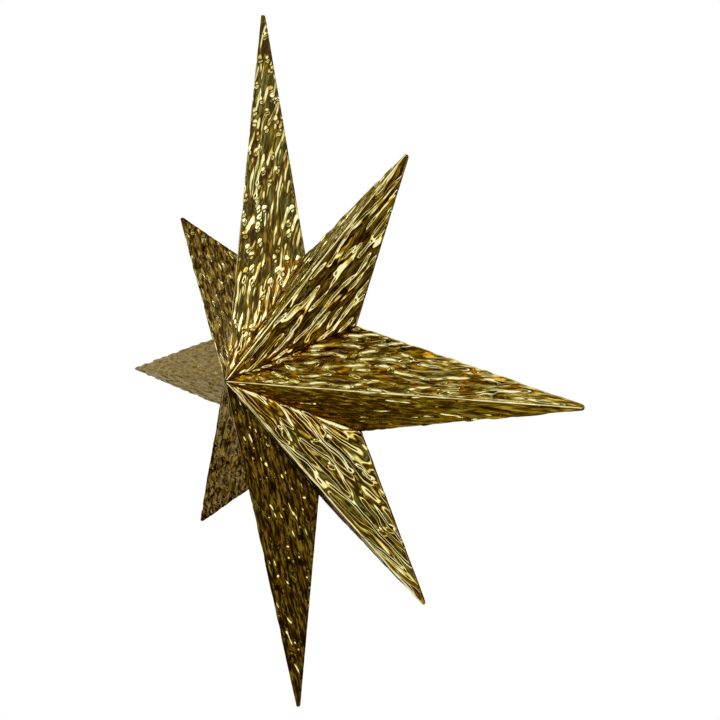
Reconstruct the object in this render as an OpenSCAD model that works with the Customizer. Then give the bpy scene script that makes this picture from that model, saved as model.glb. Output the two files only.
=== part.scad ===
// Eight-pointed tree topper star of embossed brass sheet, hollow at the back.
// Eight folded points are soldered along their valleys. Two straps cross the
// hollow and carry a sleeve that slides down over the top branch of a tree.
// Frame: the origin is the middle of the sleeve's mouth, +Z is up along the
// sleeve and the upper point, and the face of the star looks along -Y.

/* [Star] */
// Length of the upper and lower points, from the star's centre
long_point = 152; // [110:1:220]
// Length of the left and right points
side_point = 147; // [105:1:210]
// Length of the four slanting points
short_point = 113; // [90:1:160]
// Distance of the eight notches from the star's centre
notch_radius = 54; // [50:0.5:66]
// Height of the peak over the plane of the rims
peak_height = 28.5; // [20:0.5:45]
// Thickness of the embossed sheet
sheet_thickness = 0.6; // [0.4:0.05:1]
// Radius of the blunt end of each point
tip_radius = 0.9; // [0.6:0.05:1.6]
// Height of the blunt end of each point
tip_height = 0.9; // [0.5:0.05:1.6]

/* [Solder] */
// Width of the bead along the inside of each valley
bead_width = 3; // [2:0.1:4]
// Height of the bead under the valley's line
bead_height = 1; // [0.6:0.1:1.5]
// Reach of the solder inside the peak, from the star's centre
peak_solder_reach = 5.5; // [4:0.5:9]
// Length of the solder inside each tip
tip_solder_length = 6; // [3:0.5:9]
// Width of the solder pad at each end of a strap
pad_width = 6; // [4:0.5:7]
// Length of the solder pads
pad_length = 4; // [3:0.5:6]
// Gap between two runs of solder in one valley
solder_gap = 1; // [0.5:0.1:2]

/* [Straps] */
// Width of each strap
strap_width = 12; // [9:0.5:16]
// Thickness of each strap
strap_thickness = 1.2; // [0.8:0.1:2]
// Distance of a strap's end from the notch that it points at
strap_setback = 1.9; // [1.5:0.1:4]

/* [Sleeve] */
// Bore of the sleeve
bore_diameter = 20; // [14:0.5:24]
// Wall of the sleeve
sleeve_wall = 0.8; // [0.6:0.1:1.5]
// Length of the sleeve's bore
sleeve_length = 80; // [66:1:110]
// Distance of the sleeve's mouth below the star's centre
mouth_drop = 52; // [36:1:54]
// Thickness of the lid soldered on top of the sleeve
lid_thickness = 1; // [0.6:0.1:2]

/* [Saddles] */
// Width of the saddles that hold the sleeve on the straps
saddle_width = 8; // [6:0.5:9]
// Thickness of the saddles
saddle_thickness = 1; // [0.6:0.1:1.4]
// Length of each foot of a saddle
foot_length = 9; // [8:0.5:12]
// Gap of the saddles and the straps to the sleeve
sleeve_clearance = 0.1; // [0.05:0.05:0.3]

/* [Rivets] */
// Diameter of a rivet's shank
rivet_diameter = 3; // [2:0.1:3.5]
// Gap around a rivet's shank
rivet_clearance = 0.1; // [0.05:0.05:0.2]
// Diameter of a rivet's head
head_diameter = 5.4; // [4.6:0.1:6.5]
// Height of a rivet's head
head_height = 1.4; // [0.8:0.1:2]

/* [Hidden] */
$fn = 96;
TIP_FACETS = 24;

POINTS = 8;
STEP = 360 / POINTS;
HALF_STEP = STEP / 2;
NORTH = 90;
// Each hand-bent point differs a little in length, as a share of its length
length_trim_shares = [0.009, 0.003, -0.008, 0.006, -0.002, -0.002, 0, -0.006];
// and leans a little off its true direction, in degrees, clockwise from north
LEAN = [0.2, 0.5, 1.7, 0.2, 0.4, -0.4, -0.5, -0.6];
// How far a cutter reaches past the faces that it cuts
overrun = sheet_thickness;
// How far the inner wedge runs on past the valleys, as a share of its edges
past_share = 0.08;

sleeve_radius = bore_diameter / 2 + sleeve_wall;
// The straps' back face, their front face and the plane of the rims
strap_back = -(sleeve_radius + sleeve_clearance);
rim_plane = strap_back - strap_thickness;
notch_x = notch_radius * cos(HALF_STEP);
notch_y = notch_radius * sin(HALF_STEP);
strap_end = notch_x - strap_setback;
// Along a valley: the bead from the peak's solder to the pad, then the pad
bead_start = peak_solder_reach + solder_gap;
pad_end = (strap_end - pad_width / 2 * sin(HALF_STEP)) / cos(HALF_STEP);
pad_start = pad_end - pad_length;
bead_end = pad_start - solder_gap;
saddle_inner = sleeve_radius + sleeve_clearance;
saddle_outer = saddle_inner + saddle_thickness;
foot_back = strap_back + saddle_thickness;
foot_reach = saddle_outer + foot_length;
rivet_x = saddle_outer + foot_length / 2;

function nominal_length(i) = i % 4 == 0 ? long_point : i % 4 == 2 ? side_point : short_point;
function point_reach(i) = nominal_length(i) * (1 + length_trim_shares[i]);
function polar(r, a, z = 0) = [r * cos(a), r * sin(a), z];
// Corners of a point lying along +X: the peak, the blunt end's middle and a notch
function peak() = [0, 0, peak_height];
function tip(i) = [point_reach(i) - tip_radius, 0, tip_height];
function notch(i, side) = polar(notch_radius, side * HALF_STEP + LEAN[i]);
function facet_normal(i, side) = cross(tip(i) - peak(), notch(i, side) - peak());
// Height of the sheet, measured straight through to the back
function sheet_rise(i) =
    sheet_thickness * norm(facet_normal(i, 1)) / abs(facet_normal(i, 1)[2]);
// Height of the face of one facet over the plane of the rims, in the point's frame
function face_z(i, side, at) = peak_height
    - (facet_normal(i, side) * [at[0], at[1], 0]) / facet_normal(i, side)[2];
// Half the width of a point's hollow at the plane of the rims
function hollow_side(i, side, x) = let (n = facet_normal(i, side))
    (n[2] * (peak_height - sheet_rise(i)) - n[0] * x) / n[1];
// Where the hollow of a point runs out at the plane of the rims
function hollow_end(i) =
    tip(i)[0] * (peak_height - sheet_rise(i)) / (peak_height - tip_height);

// Valley i lies between point i and point i + 1. These give the back of the
// sheets beside it, at a distance out from the centre and a distance across.
function turned(p, a) = [p[0] * cos(a) - p[1] * sin(a), p[0] * sin(a) + p[1] * cos(a)];
function valley_rise(i) = max(sheet_rise(i), sheet_rise((i + 1) % POINTS));
function valley_z(i, out, across) = across >= 0
    ? face_z(i, -1, turned([out, across], LEAN[i] - HALF_STEP)) - valley_rise(i)
    : face_z((i + 1) % POINTS, 1, turned([out, across], LEAN[(i + 1) % POINTS] + HALF_STEP))
        - valley_rise(i);

// Turns what lies along +X in the star's own plane to the place of point i
module at_point(i) {
    rotate([0, 0, NORTH - STEP * i - LEAN[i]]) children();
}

// Sets up the star's own frame: its centre, its plane, its face towards +Z
module on_star() {
    translate([0, rim_plane, mouth_drop]) rotate([90, 0, 0]) children();
}

// The solid under one point's two facets. With past it runs on beyond the
// valleys and the peak in the same planes, so that it cuts them cleanly.
module wedge(i, past = 0) {
    top = peak() + past * (peak() - tip(i));
    left = notch(i, 1) + past * (notch(i, 1) - tip(i) + [0, 0, tip_height]);
    right = notch(i, -1) + past * (notch(i, -1) - tip(i) + [0, 0, tip_height]);
    foot = [top[0], 0, 0];
    hull() {
        polyhedron([top, left, right, foot], [[0, 1, 2], [0, 2, 3], [0, 3, 1], [3, 2, 1]]);
        translate([tip(i)[0], 0, 0]) cylinder(r = tip_radius, h = tip_height, $fn = TIP_FACETS);
    }
}

// The space just behind one point's sheet
module behind(i, past = 0) {
    translate([0, 0, -sheet_rise(i)]) wedge(i, past);
}

module point(i) {
    color([0.86, 0.68, 0.24]) on_star() at_point(i) difference() {
        wedge(i);
        behind(i, past_share);
    }
}

// Turns what lies along +X in the star's own plane to valley i
module at_valley(i) {
    rotate([0, 0, NORTH - STEP * i - HALF_STEP]) children();
}

// Solder under valley i from one distance out to another. Its top lies on the
// back of both sheets, and its foot is at the heights given for its two ends.
module run_of_solder(i, from, to, width, foot_from, foot_to) {
    function section(out, foot) = [
        [out, width / 2, valley_z(i, out, width / 2)],
        [out, 0, valley_z(i, out, 0)],
        [out, -width / 2, valley_z(i, out, -width / 2)],
        [out, -width / 2, foot],
        [out, width / 2, foot]
    ];
    sides = 5;
    polyhedron(
        concat(section(from, foot_from), section(to, foot_to)),
        concat(
            [[4, 1, 0], [4, 3, 1], [3, 2, 1], [5, 6, 9], [6, 8, 9], [6, 7, 8]],
            [for (k = [0 : sides - 1]) [k, (k + 1) % sides, (k + 1) % sides + sides]],
            [for (k = [0 : sides - 1]) [k, (k + 1) % sides + sides, k + sides]]
        )
    );
}

module valley_solder() {
    color([0.72, 0.62, 0.4]) on_star() for (i = [0 : POINTS - 1]) at_valley(i)
        run_of_solder(i, bead_start, bead_end, bead_width,
            valley_z(i, bead_start, 0) - bead_height, valley_z(i, bead_end, 0) - bead_height);
}

// The pads between the straps' ends and the four notches that they point at
module strap_solder() {
    color([0.72, 0.62, 0.4]) on_star() for (i = [1, 2, 5, 6]) at_valley(i)
        run_of_solder(i, pad_start, pad_end, pad_width, 0, 0);
}

module tip_solder() {
    color([0.72, 0.62, 0.4]) on_star() for (i = [0 : POINTS - 1]) at_point(i) {
        start = hollow_end(i) - tip_solder_length;
        top = face_z(i, 1, [start, 0]) - sheet_rise(i);
        polyhedron(
            [[start, hollow_side(i, 1, start), 0], [start, hollow_side(i, -1, start), 0],
                [start, 0, top], [hollow_end(i), 0, 0]],
            [[0, 1, 2], [0, 3, 1], [0, 2, 3], [1, 3, 2]]
        );
    }
}

// A lump under the peak, whose top lies on the backs of all sixteen facets
module peak_solder() {
    reach = peak_solder_reach;
    rise = max([for (i = [0 : POINTS - 1]) sheet_rise(i)]);
    corners = [for (k = [0 : 2 * POINTS - 1]) let (i = floor(k / 2)) k % 2 == 0
        ? polar(reach, NORTH - STEP * i - LEAN[i], face_z(i, 1, [reach, 0]) - rise)
        : polar(reach, NORTH - STEP * i - HALF_STEP, face_z(i, -1, notch(i, -1) * reach / notch_radius) - rise)];
    foot = min([for (c = corners) c[2]]) - bead_height;
    count = len(corners);
    color([0.72, 0.62, 0.4]) on_star() polyhedron(
        concat(corners, [for (c = corners) [c[0], c[1], foot]],
            [[0, 0, peak_height - rise], [0, 0, foot]]),
        concat(
            [for (k = [0 : count - 1]) [k, (k + 1) % count, 2 * count]],
            [for (k = [0 : count - 1]) [(k + 1) % count + count, k + count, 2 * count + 1]],
            [for (k = [0 : count - 1]) [(k + 1) % count, k, k + count]],
            [for (k = [0 : count - 1]) [(k + 1) % count, k + count, (k + 1) % count + count]]
        )
    );
}

// A strap across the hollow, on the line of two opposite notches
module strap(side) {
    color([0.8, 0.64, 0.28]) translate([0, rim_plane, mouth_drop + side * notch_y]) difference() {
        translate([-strap_end, 0, -strap_width / 2])
            cube([2 * strap_end, strap_thickness, strap_width]);
        rivet_holes();
    }
}

// Holes for the two rivets on one strap, through whatever lies around them
module rivet_holes() {
    depth = 2 * (strap_thickness + saddle_thickness + overrun);
    for (x = [-rivet_x, rivet_x]) translate([x, depth / 2 + strap_thickness, 0])
        rotate([90, 0, 0]) cylinder(d = rivet_diameter + 2 * rivet_clearance, h = depth);
}

module branch_sleeve() {
    color([0.82, 0.66, 0.3]) difference() {
        cylinder(r = sleeve_radius, h = sleeve_length);
        translate([0, 0, -overrun]) cylinder(d = bore_diameter, h = sleeve_length + 2 * overrun);
    }
}

module sleeve_lid() {
    color([0.8, 0.64, 0.28]) translate([0, 0, sleeve_length])
        cylinder(r = sleeve_radius, h = lid_thickness);
}

// A saddle bent round the back of the sleeve, with a foot on each side
module saddle(side) {
    color([0.8, 0.64, 0.28]) translate([0, 0, mouth_drop + side * notch_y]) difference() {
        translate([0, 0, -saddle_width / 2]) linear_extrude(saddle_width) saddle_outline();
        translate([0, rim_plane, 0]) rivet_holes();
    }
}

module saddle_outline() {
    difference() {
        union() {
            circle(r = saddle_outer);
            translate([-saddle_outer, strap_back]) square([2 * saddle_outer, -strap_back]);
            translate([-foot_reach, strap_back]) square([2 * foot_reach, saddle_thickness]);
        }
        circle(r = saddle_inner);
        translate([-saddle_inner, strap_back - overrun])
            square([2 * saddle_inner, overrun - strap_back]);
        translate([-saddle_outer, -2 * saddle_outer])
            square([2 * saddle_outer, 2 * saddle_outer + strap_back]);
    }
}

// A domed head on the plane z = 0
module rivet_head() {
    curve = (pow(head_diameter / 2, 2) + pow(head_height, 2)) / (2 * head_height);
    intersection() {
        translate([0, 0, head_height - curve]) sphere(r = curve);
        cylinder(d = head_diameter, h = head_height);
    }
}

module saddle_rivets() {
    grip = foot_back - rim_plane;
    color([0.88, 0.74, 0.38])
        for (x = [-rivet_x, rivet_x], z = [mouth_drop - notch_y, mouth_drop + notch_y])
            translate([x, rim_plane, z]) rotate([-90, 0, 0]) {
                cylinder(d = rivet_diameter, h = grip);
                translate([0, 0, grip]) rivet_head();
                mirror([0, 0, 1]) rivet_head();
            }
}

point(0);  // point_north
point(1);  // point_northeast
point(2);  // point_east
point(3);  // point_southeast
point(4);  // point_south
point(5);  // point_southwest
point(6);  // point_west
point(7);  // point_northwest
valley_solder();
tip_solder();
peak_solder();
strap(1);  // upper_strap
strap(-1);  // lower_strap
strap_solder();
branch_sleeve();
sleeve_lid();
saddle(1);  // upper_saddle
saddle(-1);  // lower_saddle
saddle_rivets();
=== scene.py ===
"""Dresses an eight-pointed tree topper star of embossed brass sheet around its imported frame."""

import math

import bmesh
import bpy
from mathutils import Matrix, Vector, noise


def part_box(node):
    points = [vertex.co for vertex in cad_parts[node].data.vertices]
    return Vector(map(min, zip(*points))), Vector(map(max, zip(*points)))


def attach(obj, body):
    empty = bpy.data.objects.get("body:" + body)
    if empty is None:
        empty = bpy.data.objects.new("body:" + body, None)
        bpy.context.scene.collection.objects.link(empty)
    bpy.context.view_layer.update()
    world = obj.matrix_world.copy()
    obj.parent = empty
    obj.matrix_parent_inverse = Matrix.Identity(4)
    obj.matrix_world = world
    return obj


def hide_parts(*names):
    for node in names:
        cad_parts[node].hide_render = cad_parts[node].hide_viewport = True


bl_info = {
    "name": "Embossed tree topper star",
    "version": (1, 0, 0),
    "blender": (4, 5, 0),
    "location": "View3D > Sidebar > Star",
    "description": "Builds the embossed points, the solder, the tree sleeve and the studio of a topper star",
    "category": "Object",
}

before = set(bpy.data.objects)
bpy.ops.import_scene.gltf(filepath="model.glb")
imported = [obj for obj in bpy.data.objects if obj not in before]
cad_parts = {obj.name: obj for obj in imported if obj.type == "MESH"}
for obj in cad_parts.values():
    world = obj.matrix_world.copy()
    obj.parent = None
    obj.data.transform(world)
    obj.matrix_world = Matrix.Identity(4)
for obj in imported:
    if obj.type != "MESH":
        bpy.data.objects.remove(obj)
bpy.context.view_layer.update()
BODY = "root"
MM = 0.001

# The eight points, clockwise from the top
COMPASS = ("north", "northeast", "east", "southeast", "south", "southwest", "west", "northwest")
OUT = Vector((0, -1, 0))
# How far the notch after each point is bent from its even place, clockwise in degrees
NOTCH_BENDS = (0.0, 0.0, -0.5, -1.0, 0.0, 4.0, -4.0, 1.0)


def spots(node):
    """The corners of a CAD node, in the row frame."""
    return [v.co.copy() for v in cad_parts[node].data.vertices]


PEAK = min(spots("point_north"), key=lambda p: p.y)
RIM_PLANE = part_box("point_north")[1].y
CENTRE = Vector((PEAK.x, RIM_PLANE, PEAK.z))
PEAK_HEIGHT = RIM_PLANE - PEAK.y


def bent(offset, notch):
    """An offset from the centre, turned as far as a notch is bent."""
    return Matrix.Rotation(math.radians(-NOTCH_BENDS[notch]), 3, OUT) @ offset


class Fold:
    """The corners of one folded point in its own directions: along, across and out."""

    def __init__(self, name):
        corners = spots("point_" + name)
        in_plane = [Vector((p.x - CENTRE.x, 0, p.z - CENTRE.z)) for p in corners]
        far = max(in_plane, key=lambda p: p.length)
        self.name = name
        self.along = far.normalized()
        self.across = OUT.cross(self.along)
        self.reach = far.length
        self.left = self.notch(in_plane, 1)
        self.right = self.notch(in_plane, -1)

    def notch(self, in_plane, side):
        """How far along and how far across the notch on one side lies."""
        spot = max(in_plane, key=lambda p: side * self.across.dot(p))
        spot = bent(spot, COMPASS.index(self.name) - (side > 0))
        return self.along.dot(spot), side * self.across.dot(spot)

    def normal(self, side, tip_height):
        """The outward normal of the facet on one side, before it is embossed."""
        along, across = self.left if side > 0 else self.right
        to_notch = along * self.along + side * across * self.across - PEAK_HEIGHT * OUT
        to_tip = self.reach * self.along - (PEAK_HEIGHT - tip_height) * OUT
        normal = to_notch.cross(to_tip).normalized()
        return normal if normal.dot(OUT) > 0 else -normal


FOLDS = {name: Fold(name) for name in COMPASS}


def linear(text):
    """An opaque colour written as six hexadecimal digits, in linear light."""
    parts = [int(text[i:i + 2], 16) / 255 for i in (0, 2, 4)]
    return [c / 12.92 if c <= 0.04045 else ((c + 0.055) / 1.055) ** 2.4 for c in parts] + [1.0]


def opaque(colour):
    """A colour of the settings, with its fourth number."""
    return (*colour[:], 1.0)


class Wire:
    """A socket that takes part in Python expressions, on numbers and on vectors."""

    def __init__(self, board, socket):
        self.board = board
        self.socket = socket

    def out(self, key):
        """Another output of the same node."""
        return Wire(self.board, pick(self.socket.node.outputs, key))

    def __add__(self, other):
        return self.board.maths("ADD", self, other)

    def __radd__(self, other):
        return self.board.maths("ADD", other, self)

    def __sub__(self, other):
        return self.board.maths("SUBTRACT", self, other)

    def __rsub__(self, other):
        return self.board.maths("SUBTRACT", other, self)

    def __mul__(self, other):
        return self.board.maths("MULTIPLY", self, other)

    def __rmul__(self, other):
        return self.board.maths("MULTIPLY", other, self)

    def __truediv__(self, other):
        return self.board.maths("DIVIDE", self, other)

    def __mod__(self, other):
        return self.board.maths("FLOORED_MODULO", self, other)

    def __pow__(self, other):
        return self.board.maths("POWER", self, other)

    def __abs__(self):
        return self.board.maths("ABSOLUTE", self)

    def __gt__(self, other):
        return self.board.maths("GREATER_THAN", self, other)

    def __lt__(self, other):
        return self.board.maths("LESS_THAN", self, other)


def pick(sockets, key):
    """The socket with this place, identifier or name."""
    if isinstance(key, int):
        return sockets[key]
    for socket in sockets:
        if key in (socket.identifier, socket.name):
            return socket
    raise KeyError(f"no socket {key!r}")


def is_vector(value):
    """Whether a value or a wire carries three numbers."""
    if isinstance(value, Wire):
        return value.socket.type in ("VECTOR", "RGBA")
    return hasattr(value, "__len__")


class Board:
    """A node tree, and the one way in which nodes are added to it."""

    def __init__(self, tree):
        self.tree = tree

    def add(self, kind, options=None, values=None, out=0):
        """Adds a node: its type, its options, which are set first, and what its sockets take."""
        node = self.tree.nodes.new(kind)
        for name, value in (options or {}).items():
            setattr(node, name, value)
        for key, value in (values or {}).items():
            self.feed(pick(node.inputs, key), value)
        return Wire(self, pick(node.outputs, out)) if len(node.outputs) else None

    def ramp(self, stops, share):
        """A colour ramp with these stops, each a place and a colour."""
        wire = self.add("ShaderNodeValToRGB", {}, {"Fac": share})
        ramp = wire.socket.node.color_ramp
        while len(ramp.elements) > 1:
            ramp.elements.remove(ramp.elements[-1])
        ramp.elements[0].position, ramp.elements[0].color = stops[0]
        for position, colour in stops[1:]:
            ramp.elements.new(position).color = colour
        return wire

    def coordinates(self, out):
        """The place or the direction of what is shaded."""
        return self.add("ShaderNodeTexCoord", {}, {}, out)

    def attribute(self, name, out="Vector"):
        """What a material reads off the mesh under this name."""
        return self.add("ShaderNodeAttribute", {"attribute_name": name}, {}, out)

    def feed(self, socket, value):
        """Links or sets one input."""
        if isinstance(value, Wire):
            self.tree.links.new(value.socket, socket)
        else:
            socket.default_value = value

    def maths(self, operation, *values):
        """A Math node, or a Vector Math node where a vector takes part."""
        if not any(is_vector(v) for v in values):
            return self.add("ShaderNodeMath", {"operation": operation}, dict(enumerate(values)))
        if operation == "MULTIPLY" and not all(is_vector(v) for v in values):
            vector, number = sorted(values, key=is_vector, reverse=True)
            return self.vector("SCALE", vector, Scale=number)
        return self.vector(operation, *values)

    def vector(self, operation, *values, **named):
        """A Vector Math node."""
        kind = "Value" if operation in ("DOT_PRODUCT", "LENGTH", "DISTANCE") else "Vector"
        options = {"operation": operation}
        return self.add("ShaderNodeVectorMath", options, {**dict(enumerate(values)), **named}, kind)

    def clamp(self, value):
        """The value kept from 0 to 1."""
        return self.add("ShaderNodeClamp", {}, {"Value": value})

    def step(self, value, start, end):
        """0 before start and 1 after end, with a smooth rise. Start may lie after end."""
        return self.add(
            "ShaderNodeMapRange",
            {"interpolation_type": "SMOOTHSTEP"},
            {"Value": value, "From Min": start, "From Max": end},
        )

    def parts(self, vector):
        """The three parts of a vector."""
        split = self.add("ShaderNodeSeparateXYZ", {}, {"Vector": vector})
        return split, split.out("Y"), split.out("Z")

    def join(self, x, y, z):
        """A vector of three parts."""
        return self.add("ShaderNodeCombineXYZ", {}, {"X": x, "Y": y, "Z": z})

    def cloud(self, place, detail=2.0, roughness=0.5, out="Fac"):
        """Noise, about 0.5 on average, that changes over about one unit of the place."""
        values = {"Vector": place, "Scale": 1.0, "Detail": detail, "Roughness": roughness}
        return self.add("ShaderNodeTexNoise", {"noise_dimensions": "3D"}, values, out)

    def mix(self, factor, first, second):
        """Two colours mixed."""
        return self.add(
            "ShaderNodeMix",
            {"data_type": "RGBA", "blend_type": "MIX", "clamp_factor": True},
            {"Factor_Float": factor, "A_Color": first, "B_Color": second},
            "Result_Color",
        )

    def between(self, first, second, share):
        """The value this share of the way from the first number to the second."""
        return first + (second - first) * share


def millimetres(name, description, default, low, high):
    """A size that a user may change, with its usual, least and greatest value in millimetres."""
    return bpy.props.FloatProperty(
        name=name, description=description, default=default * MM, min=low * MM, max=high * MM,
        unit="LENGTH", precision=5)


def paint(name, description, text):
    """A colour that a user may change, written as six hexadecimal digits."""
    return bpy.props.FloatVectorProperty(
        name=name, description=description, default=linear(text)[:3], subtype="COLOR", size=3,
        min=0, max=1)


class SheetSettings(bpy.types.PropertyGroup):
    """Sizes of the embossed sheet."""

    thickness: millimetres("Thickness", "Thickness of the sheet", 0.6, 0.2, 1.5)
    tip_radius: millimetres("Tip radius", "Radius of the blunt end of a point", 0.9, 0.4, 2)
    tip_height: millimetres("Tip height", "Height of the blunt end of a point", 0.9, 0.4, 2)
    ridge_radius: millimetres("Ridge radius", "How round the fold along a point is", 0.35, 0.05, 1)
    pad_height: millimetres(
        "Pad height", "How far the long pads of the bark pattern stand up", 0.9, 0, 1.2)
    pad_length: millimetres("Pad length", "Usual length of a pad, along the point", 12, 4, 30)
    pad_pitch: millimetres(
        "Pad pitch", "Usual distance from one pad to the next, across the point", 2.3, 1, 10)
    wrinkle_height: millimetres(
        "Wrinkle height", "Height of the fine wrinkles between the pads", 0.45, 0, 1.2)
    dimple_depth: millimetres("Dimple depth", "Depth of the small dimples", 0.6, 0, 1)
    swell_height: millimetres(
        "Swell height", "Height of the slow swell of the whole sheet", 1.0, 0, 2)
    row_length: millimetres(
        "Row length", "Distance between two rows of the mesh, along the point", 0.6, 0.2, 3)
    lanes: bpy.props.IntProperty(
        name="Lanes", description="Faces of the mesh across the front of a long point",
        default=210, min=20, max=300)


# The sizes that the embossing's tree takes as inputs of the same name
TREE_SIZES = (
    "tip_radius", "tip_height", "thickness", "ridge_radius", "pad_height", "pad_length",
    "pad_pitch", "wrinkle_height", "dimple_depth", "swell_height",
)
# A short point has fewer lanes than a long one, by this power of its length
LANE_POWER = 0.3

# What sets one point apart from the next. Some traits may be a pair: the left and the right
# side of the fold, as seen from the front with the tip up. One number serves both sides.
# The seed picks a stretch of the pattern, and coarseness is the pattern's size. Strength is how
# high the embossing stands, calm how smooth its quiet stretches are, and dimples the share of
# the places for a dimple that have one. Brilliance runs from dull to bright, in the finish and in
# the painted reflections. Shift moves the whole point up or down the scale of painted light and
# shade, lift moves the raised pads, and slant moves what faces sideways, as if lit from one side.
# Streaks is how streaked the colour and its painted reflection are, rub how wide the fold is
# rubbed bright and painted with a highlight, and edge the tint at a glancing angle.
SIDED_TRAITS = ("strength", "brilliance", "shift", "lift")
POINT_TRAITS = {
    "north": {
        "seed": 3.0, "coarseness": 1.1, "strength": 0.52, "calm": 0.3, "dimples": 0.6,
        "brilliance": 0.92, "shift": 0.12, "lift": -0.1, "slant": 0.4, "streaks": 0.5,
        "rub": 0.5, "edge": "pale"},
    "northeast": {
        "seed": 11.0, "coarseness": 1.05, "strength": (0.5, 0.74), "calm": 0.0, "dimples": 0.05,
        "brilliance": 1.0, "shift": -0.03, "lift": (0.0, 0.3), "slant": 0.5, "streaks": 0.6,
        "rub": 1.2, "edge": "pale"},
    "east": {
        "seed": 23.0, "coarseness": 1.05, "strength": (0.8, 0.6), "calm": 0.2, "dimples": 0.2,
        "brilliance": 1.0, "shift": 0.0, "lift": 0.0, "slant": 0.1, "streaks": 0.7,
        "rub": 1.0, "edge": "pale"},
    "southeast": {
        "seed": 37.0, "coarseness": 1.3, "strength": (0.75, 0.4), "calm": 0.0, "dimples": 0.15,
        "brilliance": (1.0, 0.4), "shift": (-0.06, 0.2), "lift": 0.0, "slant": 0.3,
        "streaks": 0.2, "rub": 1.8, "edge": "deep"},
    "south": {
        "seed": 41.0, "coarseness": 0.95, "strength": 0.45, "calm": 0.2, "dimples": 0.4,
        "brilliance": 1.0, "shift": -0.33, "lift": 0.12, "slant": 0.15, "streaks": 1.0,
        "rub": 0.35, "edge": "pale"},
    "southwest": {
        "seed": 59.0, "coarseness": 0.9, "strength": 0.65, "calm": 0.3, "dimples": 0.3,
        "brilliance": 0.5, "shift": 0.0, "lift": 0.0, "slant": -0.3, "streaks": 1.0,
        "rub": 0.25, "edge": "deep"},
    "west": {
        "seed": 67.0, "coarseness": 1.0, "strength": 0.65, "calm": 0.3, "dimples": 0.2,
        "brilliance": 0.08, "shift": 0.0, "lift": 0.0, "slant": 0.0, "streaks": 0.9,
        "rub": 0.1, "edge": "pale"},
    "northwest": {
        "seed": 73.0, "coarseness": 0.95, "strength": 0.8, "calm": 0.2, "dimples": 0.1,
        "brilliance": 0.87, "shift": -0.03, "lift": 0.0, "slant": 0.3, "streaks": 1.05,
        "rub": 0.4, "edge": "deep"},
}


class FinishSettings(bpy.types.PropertyGroup):
    """Colours and polish of the metals."""

    cream: paint("Highlight", "Colour of the brightest metal", "fdf3b0")
    pale: paint("Pale gold", "Colour of bright metal", "dccb68")
    umber: paint("Umber", "Colour of dark metal", "4c3806")
    night: paint("Darkest", "Colour of the darkest metal", "1c1200")
    brass: paint("Brass", "Colour of the plain brass", "b3924e")
    brass_dark: paint("Dark brass", "Colour of the dark lines in the brass", "775a26")
    tarnish: paint("Tarnish", "Colour of tarnished brass", "543c1e")
    solder: paint("Solder", "Colour of the solder", "c2bba6")
    solder_dark: paint("Dark solder", "Colour of the duller solder", "6e6450")
    solder_light: paint("Bright solder", "Colour of the solder's crystals", "f0ece0")
    flux: paint("Flux", "Colour of the burnt flux on the solder", "5a3e1c")
    roughness: bpy.props.FloatProperty(
        name="Roughness", description="Roughness of the polished sheet",
        default=0.17, min=0.02, max=0.8)


class HardwareSettings(bpy.types.PropertyGroup):
    """Sizes of the solder, the straps, the sleeve and the rivets behind the star."""

    solder_grain: millimetres(
        "Solder mesh", "Size of the mesh's faces on the solder", 0.3, 0.1, 1)
    solder_swell: millimetres(
        "Solder swell", "How far the solder sinks into what it joins", 0.12, 0, 0.5)
    lump_height: millimetres("Lump height", "Height of the lumps left by the iron", 1.5, 0, 2)
    lump_size: millimetres("Lump size", "Distance from one lump to the next", 3.5, 1, 10)
    ripple_height: millimetres(
        "Ripple height", "Height of the ripples that freeze on the solder", 0.35, 0, 0.6)
    edge_round: millimetres(
        "Edge rounding", "Rounding of the edges of the straps and saddles", 0.22, 0.05, 0.4)
    sleeve_wall: millimetres("Sleeve wall", "Thickness of the sleeve's wall", 0.8, 0.3, 2)
    seam_depth: millimetres("Seam depth", "Depth of the sleeve's closed seam", 0.18, 0, 0.4)
    head_diameter: millimetres("Rivet head", "Diameter of a rivet's head", 5.4, 2, 10)
    head_height: millimetres("Rivet head height", "Height of a rivet's head", 1.4, 0.5, 3)
    shank_diameter: millimetres("Rivet shank", "Diameter of a rivet's shank", 3, 1, 6)


class StudioSettings(bpy.types.PropertyGroup):
    """The camera, the lamps and the surroundings."""

    eye: bpy.props.FloatVectorProperty(
        name="Camera place", description="Where the camera stands",
        default=(0.24924, -0.19118, 0.07767), unit="LENGTH", size=3, precision=5)
    yaw: bpy.props.FloatProperty(
        name="Yaw", description="Turn of the camera to the left",
        default=math.radians(47.775), subtype="ANGLE")
    pitch: bpy.props.FloatProperty(
        name="Pitch", description="Tilt of the camera, up from level",
        default=math.radians(-3.876), subtype="ANGLE")
    roll: bpy.props.FloatProperty(
        name="Roll", description="Turn of the camera about its own line of sight",
        default=math.radians(-2.662), subtype="ANGLE")
    lens: bpy.props.FloatProperty(
        name="Lens", description="Focal length of the camera",
        default=34.837, min=10, max=200, unit="CAMERA")
    backdrop: bpy.props.FloatProperty(
        name="Backdrop", description="Level of the white wall and the horizon",
        default=1.0, min=0, max=2)
    ceiling: bpy.props.FloatProperty(
        name="Ceiling", description="Level of the surroundings overhead",
        default=0.8, min=0, max=2)
    floor_drop: bpy.props.FloatProperty(
        name="Floor", description="How far the floor lies below the sleeve's mouth",
        default=1.2, min=0.2, max=4, unit="LENGTH")
    floor_radius: bpy.props.FloatProperty(
        name="Floor radius", description="How far the floor reaches before the wall",
        default=1.95, min=0.5, max=10, unit="LENGTH")


def settings_of(group):
    """One group of settings, as it stands in the scene."""
    return getattr(bpy.context.scene, group)


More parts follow.
